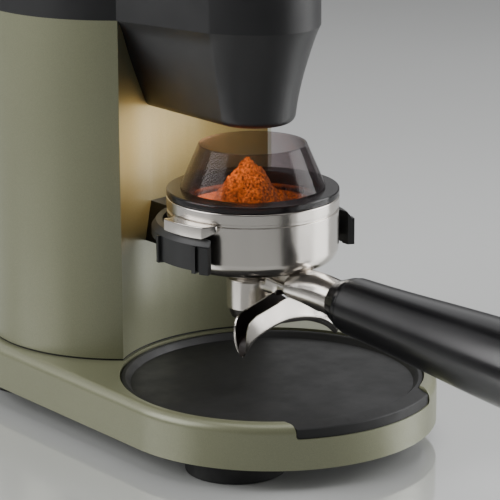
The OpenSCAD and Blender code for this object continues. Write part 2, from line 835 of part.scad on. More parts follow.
module basket_spring() {
    color("silver") at_dock(-8) rotate_extrude() translate([basket_r + 1.4, 0]) circle(0.6, $fn = 16);
}

spout_y = -22;
spout_w = 12;
module double_spout() {
    color("#cbc9c5") {
        at_dock(-67.7) translate([0, spout_y, 0]) rotate([90, 0, 0]) difference() {
            translate([0, 0, -spout_w / 2]) cylinder(h = spout_w, r = 28.1);
            translate([0, 0, -20]) cylinder(h = 40, r = 17.8);
            difference() {
                translate([0, 0, 1.3 - spout_w / 2]) cylinder(h = spout_w - 2.6, r = 40);
                translate([0, 0, -20]) cylinder(h = 40, r = 19.2);
                translate([-4, 0, -20]) cube([8, 60, 40]);
            }
            translate([-40, -80, -20]) cube([80, 88, 40]);
        }
        at_dock(-48) difference() {
            union() {
                cylinder(h = 9, r = 10.4);
                translate([-6.5, spout_y + spout_w / 2 - 0.5, 1]) cube([13, 16, 7.2]);
            }
            translate([0, 0, -2]) cylinder(h = 20, r = 8);
        }
    }
}

module handle_tang() {
    color("silver") at_handle(30.5) cylinder(h = 90, r = 4);
}

ferrule_start = 55;
grip_start = 64.2;
module handle_ferrule() {
    color("#121213") at_handle(ferrule_start) difference() {
        union() {
            cylinder(h = 7.6, r1 = 8.3, r2 = 11.2);
            translate([0, 0, 7.6]) cylinder(h = grip_start - ferrule_start - 7.6, r = 11.2);
        }
        translate([0, 0, -1]) cylinder(h = 3.02, r = 7.4);
        cylinder(h = 20, r = 4);
    }
}

grip_end = handle_reach - 4;
function grip_r(s) = bezier(11.6, 12.6, 17.4, 16, (s - grip_start) / (grip_end - grip_start));
module handle_grip() {
    n = 12;
    color("#1a1a1d") difference() {
        at_handle(0) rotate_extrude() polygon(concat(
            [[0, grip_start]],
            [for (i = [0 : n]) let (s = grip_start + (grip_end - grip_start) * i / n) [grip_r(s), s]],
            [[0, grip_end]]
        ));
        at_handle(20) cylinder(h = 100.5, r = 4);
    }
}

module handle_end_cap() {
    color("#1a1a1d") at_handle(grip_end) rotate_extrude() polygon(concat(
        [[0, 0]],
        [for (a = [0 : 10 : 90]) [12 + 3.6 * cos(a), 3.6 * sin(a)]],
        [[0, 3.6]]
    ));
}

module dosing_funnel() {
    color("#5a4a48", 0.5) at_dock(0) rotate_extrude() polygon([
        [27, -2], [28.6, -2], [28.6, 0.1], [rim_r, 0.1], [rim_r, 2.7], [rim_r - 0.5, 3.1], [29.8, 3.1],
        [22, funnel_h], [20.8, funnel_h], [27, 5.5]
    ]);
}

base_casting();
drip_mat();
base_plate();
rubber_feet();
foot_screws();
cord_gland();
column_gasket();
column_shell();
column_screws();
control_board();
board_components();
wiring_harness();
switch_bezel();
rocker_switch();
chassis_plate();
chassis_screws();
gearbox_housing();
gearbox_cover();
spindle_bearings();
idler_pin();
idler_gear();
output_gear();
burr_spindle();
motor_dampers();
motor_can();
motor_end_cap();
motor_magnets();
motor_brushes();
motor_rotor();
motor_pinion();
burr_chamber();
shaft_seal();
sweeper();
cone_burr();
burr_nut();
ring_burr();
burr_carrier();
grounds_chute();
head_cover();
spout_shroud();
adjusting_ring();
hopper();
hopper_collar();
hopper_lid();
lid_seal();
fork();
fork_screws();
dock_button();
button_spring();
microswitch();
portafilter_body();
filter_basket();
basket_spring();
double_spout();
handle_tang();
handle_ferrule();
handle_grip();
handle_end_cap();
dosing_funnel();
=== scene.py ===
"""Looks of a burr coffee grinder with a docked portafilter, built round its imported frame."""

import math

import bmesh
import bpy
from mathutils import Matrix, Vector, noise


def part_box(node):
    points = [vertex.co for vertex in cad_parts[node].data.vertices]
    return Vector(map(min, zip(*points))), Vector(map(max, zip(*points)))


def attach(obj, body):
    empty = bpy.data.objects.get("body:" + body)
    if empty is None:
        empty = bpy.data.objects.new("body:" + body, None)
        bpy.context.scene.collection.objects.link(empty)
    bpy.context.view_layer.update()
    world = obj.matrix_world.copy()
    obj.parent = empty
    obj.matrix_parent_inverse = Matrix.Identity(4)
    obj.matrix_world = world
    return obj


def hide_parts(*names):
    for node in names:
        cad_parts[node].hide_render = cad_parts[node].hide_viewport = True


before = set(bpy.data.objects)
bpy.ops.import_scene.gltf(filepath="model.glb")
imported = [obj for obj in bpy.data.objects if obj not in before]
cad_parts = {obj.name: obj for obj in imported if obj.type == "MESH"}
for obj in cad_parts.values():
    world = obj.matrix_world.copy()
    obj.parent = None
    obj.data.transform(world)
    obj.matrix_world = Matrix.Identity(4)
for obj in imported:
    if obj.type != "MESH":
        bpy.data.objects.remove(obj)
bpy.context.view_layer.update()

# ---- Places, in millimetres, from the frame ----
MM = 0.001


def box(node):
    """Lowest and highest corner of a CAD node, in millimetres."""
    low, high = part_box(node)
    return low / MM, high / MM


def centre(node):
    """Middle of a CAD node's box, in millimetres."""
    low, high = box(node)
    return (low + high) / 2


COLUMN_HIGH = box("column_shell")[1]
HEAD_LOW, HEAD_HIGH = box("head_cover")
SHROUD_LOW, SHROUD_HIGH = box("spout_shroud")
MAT_HIGH = box("drip_mat")[1]
LID_HIGH = box("hopper_lid")[1]
COLUMN_R = COLUMN_HIGH.x
BURR_Y = COLUMN_HIGH.y - COLUMN_R
HEAD_Z = HEAD_LOW.z
MAT_Y = MAT_HIGH.y - MAT_HIGH.x
BAY_R = SHROUD_HIGH.y - MAT_Y
DOCK_Y = centre("dosing_funnel").y
RIM_Z = box("portafilter_body")[1].z
SPOUT_Y = box("double_spout")[0].y + 6  # the middle of the spout's channel
BURR_AXIS = Matrix.Translation((0, BURR_Y, 0))
DOCK_AXIS = Matrix.Translation((0, DOCK_Y, 0))


def handle_matrix():
    """The handle's axis: Z runs outwards along it from the bowl's axis, and Y points up."""
    near, far = centre("handle_ferrule"), centre("handle_end_cap")
    out = (far - near).normalized()
    start = near - out * ((DOCK_Y - near.y) / -out.y)
    side = Vector((1, 0, 0))
    turn = Matrix((side, out.cross(side), out)).transposed().to_4x4()
    return Matrix.Translation(start) @ turn


HANDLE_AXIS = handle_matrix()


def along_handle(point):
    """Distance of a point along the handle's axis."""
    return (HANDLE_AXIS.inverted() @ point).z


# ---- Shapes ----
WELD = 0.003  # vertices of a CAD mesh this close are one
FLAT = math.radians(0.4)  # faces of a CAD mesh that meet at less than this are one


def rounded(corners, steps=5):
    """Outline through corners given as (x, y) or (x, y, radius), with an arc at each radius."""
    path = []
    count = len(corners)
    for i, corner in enumerate(corners):
        here = Vector(corner[:2])
        radius = corner[2] if len(corner) > 2 else 0
        if not radius:
            path.append(here)
            continue
        before = (Vector(corners[i - 1][:2]) - here).normalized()
        after = (Vector(corners[(i + 1) % count][:2]) - here).normalized()
        half = before.angle(after) / 2
        reach = radius / math.tan(half)
        middle = here + (before + after).normalized() * radius / math.sin(half)
        start = here + before * reach - middle
        end = here + after * reach - middle
        for k in range(steps + 1):
            path.append(middle + start.lerp(end, k / steps).normalized() * radius)
    return path


def bezier(a, b, c, d, t):
    """Point at t on the cubic curve through a and d."""
    a, b, c, d = (Vector(p) for p in (a, b, c, d))
    return (1 - t) ** 3 * a + 3 * t * (1 - t) ** 2 * b + 3 * t * t * (1 - t) * c + t**3 * d


def arc(middle, radius, start, end, steps):
    """Points along a circle in the plane, with angles in degrees."""
    angles = [math.radians(start + (end - start) * k / steps) for k in range(steps + 1)]
    x, y = middle
    return [Vector((x + radius * math.cos(a), y + radius * math.sin(a))) for a in angles]


def smooth_path(points, steps):
    """Points on a smooth curve through others."""
    path = []
    last = len(points) - 1
    for i in range(last):
        a, b, c, d = (Vector(points[min(max(i + k, 0), last)]) for k in (-1, 0, 1, 2))
        for k in range(steps):
            t = k / steps
            bend = (2 * a - 5 * b + 4 * c - d) * t * t + (3 * b - a - 3 * c + d) * t**3
            path.append(0.5 * ((2 * b) + (c - a) * t + bend))
    return path + [Vector(points[last])]


def bridge(bm, lower, upper):
    """Faces between two closed rows of vertices, where a tip repeats one vertex."""
    count = len(lower)
    for i in range(count):
        j = (i + 1) % count
        corners = []
        for vert in (lower[i], lower[j], upper[j], upper[i]):
            if vert not in corners:
                corners.append(vert)
        if len(corners) > 2:
            bm.faces.new(corners)


def loft(rings):
    """Closed shape skinned through rings of points, flat at both ends."""
    bm = bmesh.new()
    rows = [[bm.verts.new(p) for p in ring] for ring in rings]
    for lower, upper in zip(rows, rows[1:]):
        bridge(bm, lower, upper)
    bm.faces.new(rows[0][::-1])
    bm.faces.new(rows[-1])
    bmesh.ops.recalc_face_normals(bm, faces=bm.faces)
    return bm


def prism(outline, low, high):
    """Upright block with an outline given in the plane."""
    return loft([[(p[0], p[1], z) for p in outline] for z in (low, high)])


def lathe(profile, axis=Matrix(), steps=144):
    """Solid of revolution about the axis's Z from a closed outline of (radius, height)."""
    bm = bmesh.new()
    rows = []
    for radius, height in profile:
        if radius < 1e-6:
            rows.append([bm.verts.new(axis @ Vector((0, 0, height)))] * steps)
            continue
        row = []
        for k in range(steps):
            a = 2 * math.pi * k / steps
            row.append(bm.verts.new(axis @ Vector((radius * math.cos(a), radius * math.sin(a), height))))
        rows.append(row)
    for i, row in enumerate(rows):
        bridge(bm, row, rows[(i + 1) % len(rows)])
    bmesh.ops.recalc_face_normals(bm, faces=bm.faces)
    return bm


def as_object(bm):
    """A bmesh as an object of its own; the bmesh is used up."""
    mesh = bpy.data.meshes.new("shape")
    bm.to_mesh(mesh)
    bm.free()
    shape = bpy.data.objects.new("shape", mesh)
    bpy.context.collection.objects.link(shape)
    return shape


def evaluated(shape):
    """The mesh of an object with its modifiers, as a bmesh."""
    graph = bpy.context.evaluated_depsgraph_get()
    bm = bmesh.new()
    bm.from_mesh(shape.evaluated_get(graph).to_mesh())
    return bm


def discard(*shapes):
    """Removes helper objects with their meshes."""
    for shape in shapes:
        bpy.data.meshes.remove(shape.data)


def boolean(base, tool, operation="DIFFERENCE"):
    """Cuts, joins or crosses two closed shapes."""
    shapes = as_object(base), as_object(tool)
    modifier = shapes[0].modifiers.new("boolean", "BOOLEAN")
    modifier.object = shapes[1]
    modifier.operation = operation
    modifier.solver = "EXACT"
    bm = evaluated(shapes[0])
    discard(*shapes)
    return bm


def merged(*shapes):
    """Several closed shapes as one bmesh, without joining their surfaces."""
    bm = bmesh.new()
    for shape in shapes:
        mesh = bpy.data.meshes.new("shape")
        shape.to_mesh(mesh)
        shape.free()
        bm.from_mesh(mesh)
        bpy.data.meshes.remove(mesh)
    return bm


def melted(bm, voxel, rounds):
    """One skin round overlapping shapes, with soft inner corners as on a casting."""
    shape = as_object(bm)
    remesh = shape.modifiers.new("remesh", "REMESH")
    remesh.mode = "VOXEL"
    remesh.voxel_size = voxel
    smooth = shape.modifiers.new("smooth", "SMOOTH")
    smooth.factor = 0.5
    smooth.iterations = rounds
    result = evaluated(shape)
    discard(shape)
    return result


def bevelled(bm, width, segments=2, sharp=30):
    """Rounds the sharp edges of a shape."""
    limit = math.radians(sharp)
    edges = [e for e in bm.edges if e.is_manifold and e.calc_face_angle() > limit]
    bmesh.ops.bevel(
        bm, geom=edges, offset=width, offset_type="OFFSET", segments=segments,
        profile=0.5, affect="EDGES", clamp_overlap=True,
    )
    return bm


def from_cad(node, width, segments=2, sharp=30):
    """A CAD node's shape with its sharp edges rounded."""
    bm = bmesh.new()
    bm.from_mesh(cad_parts[node].data)
    bm.transform(Matrix.Scale(1 / MM, 4))
    bmesh.ops.remove_doubles(bm, verts=bm.verts, dist=WELD)
    bmesh.ops.dissolve_limit(bm, angle_limit=FLAT, verts=bm.verts, edges=bm.edges)
    return bevelled(bm, width, segments, sharp)


def finished(name, bm, body, look, stands_for=(), sharp=38):
    """Makes a shape in millimetres into a shaded piece that rides on a CAD body.

    Edges that bend by more than sharp, in degrees, stay hard.
    """
    bm.transform(Matrix.Scale(MM, 4))
    limit = math.radians(sharp)
    for edge in bm.edges:
        edge.smooth = not edge.is_manifold or edge.calc_face_angle() < limit
    for face in bm.faces:
        face.smooth = True
    mesh = bpy.data.meshes.new(name)
    bm.to_mesh(mesh)
    bm.free()
    piece = bpy.data.objects.new(name, mesh)
    bpy.context.collection.objects.link(piece)
    if sharp < 180:
        piece.modifiers.new("normals", "WEIGHTED_NORMAL").keep_sharp = True
    mesh.materials.append(LOOKS[look])
    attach(piece, body)
    if stands_for:
        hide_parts(*stands_for)
    return piece


# ---- Materials ----
LOOKS = {}
NOISE_LOW, NOISE_HIGH = 0.3, 0.7  # a noise hardly ever leaves this range


def add(tree, kind, settings=(), **inputs):
    """A node with settings on the node and values or links on its inputs."""
    node = tree.nodes.new(kind)
    for name, value in dict(settings).items():
        setattr(node, name, value)
    for name, value in inputs.items():
        socket = node.inputs[name.replace("_", " ")]
        if isinstance(value, bpy.types.NodeSocket):
            tree.links.new(value, socket)
        else:
            socket.default_value = value
    return node


def clouds(tree, scale, detail=3.0, stretch=(1, 1, 1)):
    """Noise over the piece itself, with scale in cells a metre."""
    place = add(tree, "ShaderNodeTexCoord").outputs["Object"]
    if stretch != (1, 1, 1):
        place = add(tree, "ShaderNodeMapping", Vector=place, Scale=stretch).outputs["Vector"]
    return add(tree, "ShaderNodeTexNoise", Vector=place, Scale=scale, Detail=detail).outputs["Fac"]


def remap(tree, value, low, high, start=0.0, end=1.0, curve="LINEAR"):
    """Maps a value's range from start to end onto low to high."""
    node = add(
        tree, "ShaderNodeMapRange", {"interpolation_type": curve}, Value=value,
        From_Min=start, From_Max=end, To_Min=low, To_Max=high,
    )
    return node.outputs["Result"]


def ramp(tree, value, stops):
    """Colours at positions along a value, in straight blends."""
    node = add(tree, "ShaderNodeValToRGB", Fac=value)
    elements = node.color_ramp.elements
    for i, (position, colour) in enumerate(stops):
        if i == len(elements):
            elements.new(1.0)
        elements[i].position = position
        elements[i].color = (*colour, 1)
    return node.outputs["Color"]


def look(
    name, low, high, rough, mottle=35.0, grain=900.0, bump=0.1, depth=0.00005, stretch=(1, 1, 1), **own,
):
    """A material whose colour, gloss and surface vary: own holds values set on the shader itself."""
    material = bpy.data.materials.new(name)
    material.use_nodes = True
    tree = material.node_tree
    shader = tree.nodes["Principled BSDF"]
    patches = clouds(tree, mottle, 4.0, stretch)
    colour = ramp(tree, patches, ((NOISE_LOW, low), (NOISE_HIGH, high)))
    gloss = remap(tree, clouds(tree, mottle * 3, 3.0, stretch), *rough, NOISE_LOW, NOISE_HIGH)
    height = add(tree, "ShaderNodeBump", Height=clouds(tree, grain, 2.0, stretch), Strength=bump, Distance=depth)
    tree.links.new(colour, shader.inputs["Base Color"])
    tree.links.new(gloss, shader.inputs["Roughness"])
    tree.links.new(height.outputs["Normal"], shader.inputs["Normal"])
    for socket, value in own.items():
        shader.inputs[socket.replace("_", " ")].default_value = value
    LOOKS[name] = material
    return material


def smoked(name, through, low, high, shine, rough, bump=0.03):
    """Clear moulded plastic: through tints what is seen behind it, and shine is its solid share."""
    material = look(name, low, high, rough, mottle=20.0, grain=60.0, bump=bump, IOR=1.5)
    tree = material.node_tree
    shader = tree.nodes["Principled BSDF"]
    out = tree.nodes["Material Output"]
    clear = add(tree, "ShaderNodeBsdfTransparent", Color=(*through, 1))
    edge = add(tree, "ShaderNodeLayerWeight", Blend=0.28)
    blend = add(tree, "ShaderNodeMixShader", Fac=remap(tree, edge.outputs["Facing"], shine, 0.9))
    tree.links.new(clear.outputs["BSDF"], blend.inputs[1])
    tree.links.new(shader.outputs["BSDF"], blend.inputs[2])
    tree.links.new(blend.outputs["Shader"], out.inputs["Surface"])


def pearl_paint(name):
    """Pearl lacquer: fine bright flakes under a clear coat."""
    material = look(
        name, (0.232, 0.238, 0.142), (0.248, 0.255, 0.155), (0.34, 0.4), mottle=9.0, grain=240.0,
        bump=0.02, Metallic=0.2, Coat_Weight=0.55, Coat_Roughness=0.3,
    )
    tree = material.node_tree
    shader = tree.nodes["Principled BSDF"]
    place = add(tree, "ShaderNodeTexCoord").outputs["Object"]
    flakes = add(tree, "ShaderNodeTexVoronoi", Vector=place, Scale=5200.0)
    tone = remap(tree, flakes.outputs["Color"], 0.88, 1.12)
    under = shader.inputs["Base Color"].links[0].from_socket
    mixed = add(tree, "ShaderNodeMix", {"data_type": "RGBA", "blend_type": "MULTIPLY"}, Factor=1.0)
    tree.links.new(under, mixed.inputs[6])
    tree.links.new(tone, mixed.inputs[7])
    tree.links.new(mixed.outputs[2], shader.inputs["Base Color"])


def make_looks():
    """One material for each slot of the record, and a few for pieces of their own."""
    pearl_paint("painted_shell")
    look("mat_rubber", (0.010, 0.010, 0.0102), (0.014, 0.014, 0.0143), (0.48, 0.6), bump=0.35, grain=1500.0)
    look("foot_rubber", (0.009, 0.009, 0.009), (0.014, 0.014, 0.014), (0.6, 0.75), bump=0.4)
    look("seal_rubber", (0.006, 0.006, 0.006), (0.01, 0.01, 0.01), (0.55, 0.7), bump=0.3)
    look("plate_steel", (0.5, 0.5, 0.5), (0.62, 0.62, 0.61), (0.3, 0.45), Metallic=1.0)
    look("fastener_steel", (0.45, 0.45, 0.46), (0.62, 0.62, 0.63), (0.22, 0.34), Metallic=1.0)
    look("black_plastic", (0.008, 0.008, 0.0085), (0.013, 0.013, 0.0135), (0.34, 0.44), bump=0.25, grain=1300.0)
    look("head_plastic", (0.0115, 0.0115, 0.0125), (0.0155, 0.0155, 0.0168), (0.4, 0.48), bump=0.3, grain=1700.0)
    look("board_green", (0.01, 0.07, 0.025), (0.02, 0.11, 0.04), (0.3, 0.4), mottle=180.0)
    look("component_plastic", (0.02, 0.02, 0.022), (0.05, 0.05, 0.055), (0.35, 0.5), mottle=120.0)
    look("wire_pvc", (0.17, 0.03, 0.015), (0.24, 0.05, 0.025), (0.35, 0.45))
    look("cast_alloy", (0.34, 0.34, 0.35), (0.46, 0.46, 0.47), (0.42, 0.58), Metallic=1.0, bump=0.35)
    look("bearing_steel", (0.5, 0.5, 0.52), (0.66, 0.66, 0.67), (0.12, 0.22), Metallic=1.0)
    look("gear_brass", (0.5, 0.33, 0.13), (0.65, 0.45, 0.2), (0.25, 0.38), Metallic=1.0)
    look("gear_nylon", (0.6, 0.57, 0.48), (0.7, 0.67, 0.57), (0.4, 0.5))
    look("motor_steel", (0.3, 0.3, 0.31), (0.42, 0.42, 0.43), (0.35, 0.5), Metallic=1.0)
    look("magnet_black", (0.02, 0.02, 0.021), (0.04, 0.04, 0.042), (0.6, 0.75))
    look("brush_carbon", (0.02, 0.019, 0.018), (0.035, 0.032, 0.03), (0.5, 0.65))
    look("rotor_copper", (0.4, 0.15, 0.06), (0.6, 0.25, 0.1), (0.25, 0.4), mottle=200.0, Metallic=1.0)
    look("burr_steel", (0.42, 0.42, 0.43), (0.6, 0.6, 0.61), (0.22, 0.36), mottle=150.0, Metallic=1.0)
    look("lid_plastic", (0.012, 0.0115, 0.0115), (0.018, 0.017, 0.017), (0.22, 0.3), bump=0.06)
    look("basket_steel", (0.6, 0.59, 0.57), (0.7, 0.69, 0.67), (0.2, 0.3), Metallic=1.0)
    look(
        "portafilter_chrome", (0.6, 0.565, 0.52), (0.68, 0.645, 0.6), (0.17, 0.25), mottle=45.0, grain=300.0,
        bump=0.02, stretch=(1, 1, 0.25), Metallic=1.0,
    )
    look(
        "grip_plastic", (0.0035, 0.0035, 0.0042), (0.005, 0.005, 0.006), (0.2, 0.26), mottle=18.0, grain=420.0,
        bump=0.03, Coat_Weight=0.3, Coat_Roughness=0.25,
    )
    smoked("hopper_smoke", (0.8, 0.77, 0.75), (0.01, 0.009, 0.009), (0.016, 0.014, 0.014), 0.12, (0.05, 0.09))
    smoked(
        "funnel_smoke", (0.9, 0.86, 0.87), (0.016, 0.013, 0.014), (0.022, 0.018, 0.02), 0.14, (0.08, 0.12),
        bump=0.003,
    )
    smoked("flange_smoke", (0.5, 0.42, 0.42), (0.012, 0.011, 0.012), (0.017, 0.016, 0.017), 0.7, (0.14, 0.2))
    look(
        "ferrule_lacquer", (0.004, 0.004, 0.0045), (0.007, 0.007, 0.0075), (0.1, 0.2), mottle=300.0,
        grain=420.0, bump=0.5, depth=0.0002,
    )
    # Painted shade: a dark brown colour for the spout channel's inner faces, in place of the shade inside the
    # chrome channel
    look("spout_inside_painted_shade", (0.008, 0.005, 0.004), (0.02, 0.012, 0.009), (0.3, 0.5), mottle=220.0, Metallic=0.2)
    look(
        "ground_coffee", (0.03, 0.005, 0.0012), (0.62, 0.17, 0.022), (0.7, 0.9), mottle=900.0, bump=0.9,
        depth=0.0004,
    )


make_looks()


# ---- Head, shroud and column ----
WALL = 2.4
NOSE_HALF = 38.9  # half the nose's width at the back
SIDE_START, SIDE_END = 85, 56.8  # its flat sides, along Y
OUTLET_R, OUTLET_Y = 16.5, 17  # round front of the shroud's lower plan
CURVE_STEPS = 24
BLEND_STEPS = 8  # points over which the front's share takes over from the back's


def nose_half(inset):
    """Right half of the nose's plan, from the back to its middle."""
    half = NOSE_HALF - inset
    tip = inset - 11.5
    knots = (27.9 - inset, 10.9), (22.5 - inset, inset), (13, tip), (0, tip)
    curve = [bezier(*knots, k / CURVE_STEPS) for k in range(CURVE_STEPS + 1)]
    return [Vector((half, SIDE_START)), Vector((half, SIDE_END))] + curve


def outlet_half(inset):
    """Right half of the shroud's lower plan, with as many points."""
    radius = OUTLET_R - inset
    curve = arc((0, OUTLET_Y), radius, 0, -90, CURVE_STEPS)
    return [Vector((radius, SIDE_START)), Vector((radius, SIDE_END))] + curve


def nose_ring(back, front, inset, z, shift=0.0):
    """The nose's outline at a height, with the back's and the front's share of the outlet's plan."""
    turning = [back + (front - back) * min(1.0, k / BLEND_STEPS) for k in range(CURVE_STEPS + 1)]
    half = [a.lerp(b, share) for a, b, share in zip(nose_half(inset), outlet_half(inset), [back, back] + turning)]
    whole = half + [Vector((-p.x, p.y)) for p in reversed(half[:-1])]
    return [(p.x, p.y + shift, z) for p in whole]


def head_solid(inset, low):
    """The head's drum and nose in one, drawn in by inset."""
    high = HEAD_HIGH.z - inset
    outer = COLUMN_R - inset
    drum = rounded([(0, low), (outer, low), (outer, high, 9 - inset / 2), (0, high)], 10)
    rings = [(inset, low, 0), (inset, HEAD_Z + 29 - inset, 0), (inset + 5, HEAD_Z + 54 - inset, 22)]
    nose = loft([nose_ring(0, 0, draw, z, shift) for draw, z, shift in rings])
    return boolean(lathe(drum, BURR_AXIS, 192), nose, "UNION")


def make_head():
    """The head's cover, open below and at the top for the hopper."""
    shell = boolean(head_solid(0, HEAD_Z), head_solid(WALL, HEAD_Z - 4))
    low, high, radius = HEAD_Z + 20, HEAD_HIGH.z + 5, 34
    mouth = lathe([(0, low), (radius, low), (radius, high), (0, high)], BURR_AXIS)
    finished("head_shell", bevelled(boolean(shell, mouth), 0.45), "housing", "head_plastic", ["head_cover"])


# Depth under the head, then the back's and the front's share of the outlet's plan.
SHROUD_SHARES = (0, 0, 0), (5, 0.2, 0.2), (14, 0.4, 0.48), (23, 0.61, 0.72), (32, 0.82, 0.9), (40, 1, 1)


def shroud_solid(inset, floor, steps=40):
    """The shroud from under the head to its floor, with a rounded lower edge."""
    depth = SHROUD_HIGH.z - floor
    knots = smooth_path(SHROUD_SHARES, 8)
    deepest = SHROUD_SHARES[-1][0] - 0.01
    edge = 3.2
    rings = []
    for k in range(steps + 1):
        down = depth * math.sin(math.pi / 2 * k / steps)
        spot = min(down, deepest)
        above = max((knot for knot in knots if knot[0] <= spot), key=lambda knot: knot[0])
        below = min((knot for knot in knots if knot[0] > spot), key=lambda knot: knot[0])
        shares = above.lerp(below, (spot - above[0]) / (below[0] - above[0]))
        over = max(0.0, down - depth + edge)
        draw = edge - math.sqrt(max(0.0, edge * edge - over * over))
        rings.append(nose_ring(shares[1], shares[2], inset + draw, SHROUD_HIGH.z - down))
    return loft(rings)


def make_shroud():
    """The shroud, cut off by the bay's round wall, with the outlet's hole in its floor."""
    low, high, radius = SHROUD_LOW.z - 5, SHROUD_LOW.z + 20, 11.5
    disc = prism(arc((0, MAT_Y), BAY_R - 0.15, 0, 357.5, 143), low, SHROUD_HIGH.z + 5)
    outer = boolean(shroud_solid(0, SHROUD_LOW.z), disc, "INTERSECT")
    inner = shroud_solid(WALL, SHROUD_LOW.z + WALL)
    bmesh.ops.translate(inner, verts=inner.verts, vec=(0, 0, 0.05))
    hole = lathe([(0, low), (radius, low), (radius, high), (0, high)], DOCK_AXIS)
    shell = boolean(boolean(outer, inner), hole)
    finished("shroud_shell", bevelled(shell, 0.4), "housing", "head_plastic", ["spout_shroud"])


# ---- Hopper and lid ----
def make_hopper():
    """The smoked hopper, closed by its cone towards the throat, and the collar under it."""
    z = HEAD_Z
    wall = rounded([
        (25.4, z + 62), (27.6, z + 62), (27.6, z + 80.3), (38, z + 80.3, 1.5), (59.5, z + 119, 3),
        (61.5, z + 124, 4), (61.5, z + 195, 0.8), (59.3, z + 195, 0.8), (59.3, z + 124.6, 3),
        (57.5, z + 120.3, 3), (36.8, z + 82.5, 1), (25.4, z + 79.3),
    ])
    finished("hopper_wall", lathe(wall, BURR_AXIS, 192), "hopper", "hopper_smoke", ["hopper"])
    collar = rounded([
        (38.4, z + 80.3), (50, z + 80.3, 0.8), (50, z + 86, 1.2), (46.8, z + 92, 0.6), (46, z + 92.8),
    ])
    finished("hopper_collar_ring", lathe(collar, BURR_AXIS, 192), "hopper", "black_plastic", ["hopper_collar"])


def make_lid():
    """The domed lid with its knob and the skirt that stands inside the hopper."""
    top = LID_HIGH.z - 20
    cap = rounded([
        (0, top + 20), (13, top + 20, 1.2), (15.5, top + 18.5, 1), (15.8, top + 13.6, 3), (40, top + 10.6, 12),
        (56, top + 6, 8), (61.4, top + 3, 1.5), (61.4, top + 0.2, 0.4), (58.3, top + 0.2), (58.3, top - 6, 0.5),
        (56.3, top - 6, 0.5), (56.3, top + 1.5), (55, top + 3.4, 6), (39, top + 8, 12), (13.4, top + 11),
        (13.4, top + 17.5), (0, top + 17.5),
    ])
    finished("lid_shell", lathe(cap, BURR_AXIS, 192), "lid", "lid_plastic", ["hopper_lid"])


# ---- Portafilter ----
BODY = "portafilter"
CHROME = "portafilter_chrome"
FERRULE_NEAR = 55.0  # distances along the handle
GRIP_NEAR = 64.2
LUG_START, LUG_DEGREES, LUG_TAPER = -8, 37, 6


def make_bowl():
    """The bowl with the outlet's boss and the line under its rim."""
    z = RIM_Z
    outline = rounded([
        (3.2, z - 49), (8, z - 49, 0.5), (8, z - 34, 4), (12.5, z - 27.3, 3), (35, z - 27.3, 6.5),
        (35, z - 5.6, 0.35), (34.5, z - 5.6), (34.5, z - 4.5), (35.2, z - 4.5, 0.3), (35.2, z, 0.6), (34, z, 0.3),
        (34, z - 1), (31.2, z - 1, 0.3), (31.2, z - 24.4, 3), (3.2, z - 24.4),
    ], 8)
    finished("portafilter_bowl", lathe(outline, DOCK_AXIS, 240), BODY, CHROME, ["portafilter_body"])


def make_lug(name, turn):
    """A lug round the rim, with a ramp at its last degrees."""
    near, low, high = 33.5, RIM_Z - 9.6, RIM_Z - 4.7
    rings = []
    for k in range(LUG_DEGREES + 1):
        end = max(0.0, (k - LUG_DEGREES + LUG_TAPER) / LUG_TAPER)
        far = 41.4 - 4.6 * end
        ramp_low = low + 2.2 * end
        place = DOCK_AXIS @ Matrix.Rotation(math.radians(turn + LUG_START + k), 4, "Z")
        section = (near, ramp_low), (far, ramp_low), (far, high), (near, high)
        rings.append([place @ Vector((r, 0, h)) for r, h in section])
    finished(name, bevelled(loft(rings), 0.5), BODY, CHROME)


def neck_ring(s, half, top, bottom, power=2.3, steps=40):
    """Rounded-square section of the neck at a distance along the handle."""
    ring = []
    for k in range(steps):
        a = 2 * math.pi * k / steps
        c, d = math.cos(a), math.sin(a)
        x = half * math.copysign(abs(c) ** (2 / power), c)
        y = (top if d > 0 else bottom) * math.copysign(abs(d) ** (2 / power), d)
        ring.append(HANDLE_AXIS @ Vector((x, y, s)))
    return ring


def make_neck():
    """The cast neck: it flares into the bowl, with a keel under the bowl to the boss."""
    neck = loft([
        neck_ring(30, 9.6, 6.6, 4.6), neck_ring(34, 9.0, 7.2, 5.0), neck_ring(38, 8.3, 7.6, 5.4),
        neck_ring(44, 7.7, 7.9, 6.0), neck_ring(50, 7.4, 7.7, 6.6), neck_ring(FERRULE_NEAR + 1.5, 7.2, 7.2, 7.1),
    ])
    keel = loft([
        neck_ring(13, 5.0, 1.2, 4.6, 3.2), neck_ring(22, 5.2, 0.8, 4.8, 3.2), neck_ring(32, 5.6, 0.4, 5.4, 3.2),
        neck_ring(40, 6.2, 0.0, 6.0, 3.0), neck_ring(47, 6.8, 0.0, 6.6, 2.8),
    ])
    block = rounded([(-5.2, -38, 1.5), (5.2, -38, 1.5), (5.2, -33.2, 1.5), (-5.2, -33.2, 1.5)], 4)
    root = loft([[(x, DOCK_Y - out, RIM_Z + h) for x, h in block] for out in (9.5, 15, 21)])
    skin = melted(merged(neck, keel, root), voxel=0.4, rounds=40)
    finished("portafilter_neck", skin, BODY, CHROME, sharp=180)


